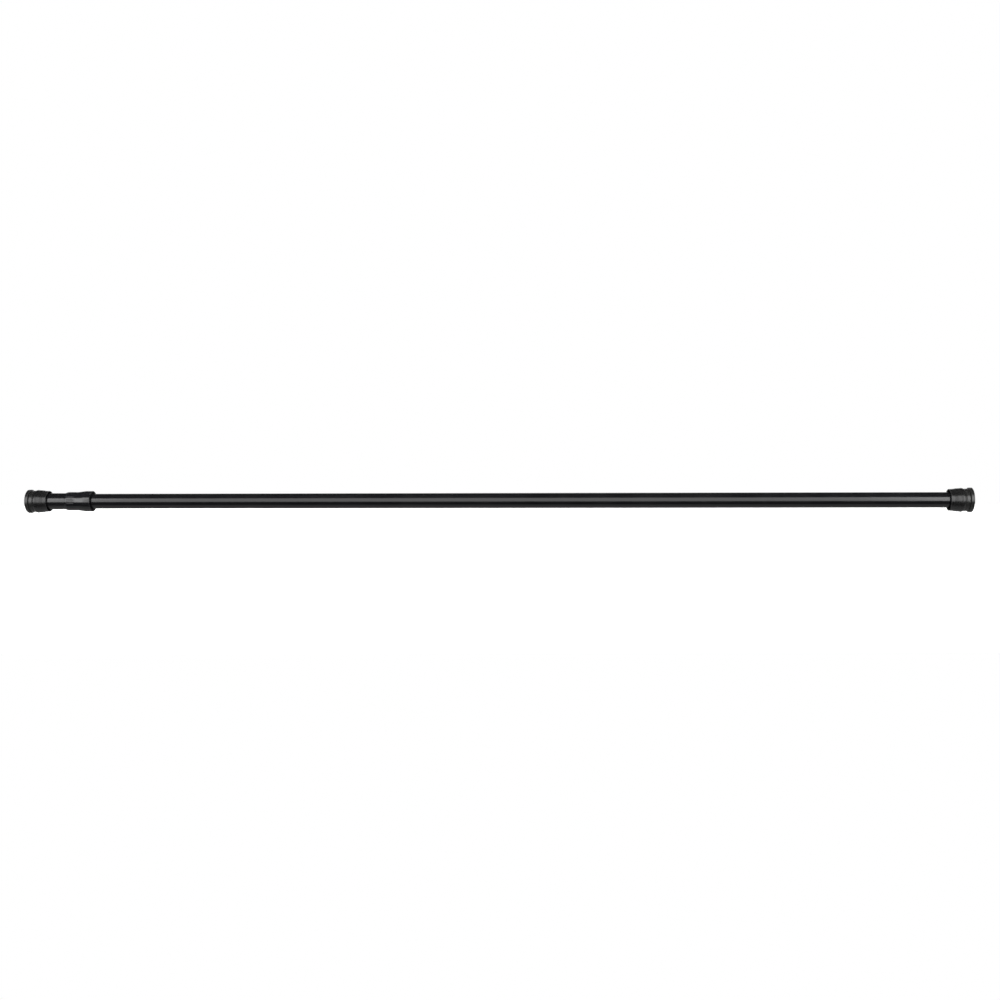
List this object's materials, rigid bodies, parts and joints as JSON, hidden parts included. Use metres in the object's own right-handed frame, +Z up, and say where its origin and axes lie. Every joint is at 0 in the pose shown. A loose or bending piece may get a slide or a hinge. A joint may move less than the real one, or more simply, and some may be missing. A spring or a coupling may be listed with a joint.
{
  "type": "telescopic door security bar",
  "caption": "Slim black telescopic bar jammed across a door or window opening: rubber-padded cap at each end, sprung foot, twist collar that locks the length.",
  "frame": {"origin": "centre of the fixed pad's contact face, at the bar's +X end", "axes": "+X along the bar out of the fixed pad; the sprung foot and the collar are at the -X end; +Z up with the bar level"},
  "size_m": [0.995, 0.0252, 0.0252],
  "materials": {
    "powder_coat": "semi-gloss black powder coat on steel",
    "cap_plastic": "satin black moulded plastic",
    "collar_plastic": "semi-gloss black moulded plastic",
    "black_rubber": "matte black rubber",
    "nylon": "natural nylon",
    "zinc_steel": "zinc-plated steel",
    "spring_steel": "oiled spring steel"
  },
  "bodies": {
    "outer_bar": {"outer_tube": "powder_coat", "threaded_ferrule": "collar_plastic", "right_end_plug": "nylon", "right_backing_washer": "zinc_steel", "right_socket": "cap_plastic", "right_rubber_foot": "black_rubber"},
    "collet": {"clamp_collet": "nylon"},
    "collar": {"lock_collar": "collar_plastic", "wiper_ring": "black_rubber"},
    "inner_bar": {"inner_tube": "powder_coat", "inner_guide_bush": "nylon", "spring_seat_plug": "nylon", "seat_washer": "zinc_steel", "roll_pins": "zinc_steel", "foot_spring": "spring_steel"},
    "sprung_foot": {"spring_sleeve": "powder_coat", "sleeve_bushing": "nylon", "left_end_plug": "nylon", "left_backing_washer": "zinc_steel", "left_socket": "cap_plastic", "left_rubber_foot": "black_rubber"}
  },
  "joints": [
    {"name": "collet_shift", "type": "slide", "parent": "outer_bar", "child": "collet", "axis": [-1, 0, 0], "range_m": [0, 0.00101]},
    {"name": "collar_twist", "type": "hinge", "parent": "collet", "child": "collar", "pos_m": [-0.938, 0, 0], "axis": [-1, 0, 0], "range_deg": [0, 180]},
    {"name": "tube_slide", "type": "slide", "parent": "outer_bar", "child": "inner_bar", "axis": [-1, 0, 0], "range_m": [0, 0.838]},
    {"name": "foot_plunge", "type": "slide", "parent": "inner_bar", "child": "sprung_foot", "axis": [1, 0, 0], "range_m": [0, 0.012], "stiffness_N_per_m": 2500, "springref_m": -0.008, "deforming": ["foot_spring"]}
  ],
  "couplings": [
    {"joint": "collet_shift", "follows": "collar_twist", "m_per_rad": 0.00031831}
  ]
}
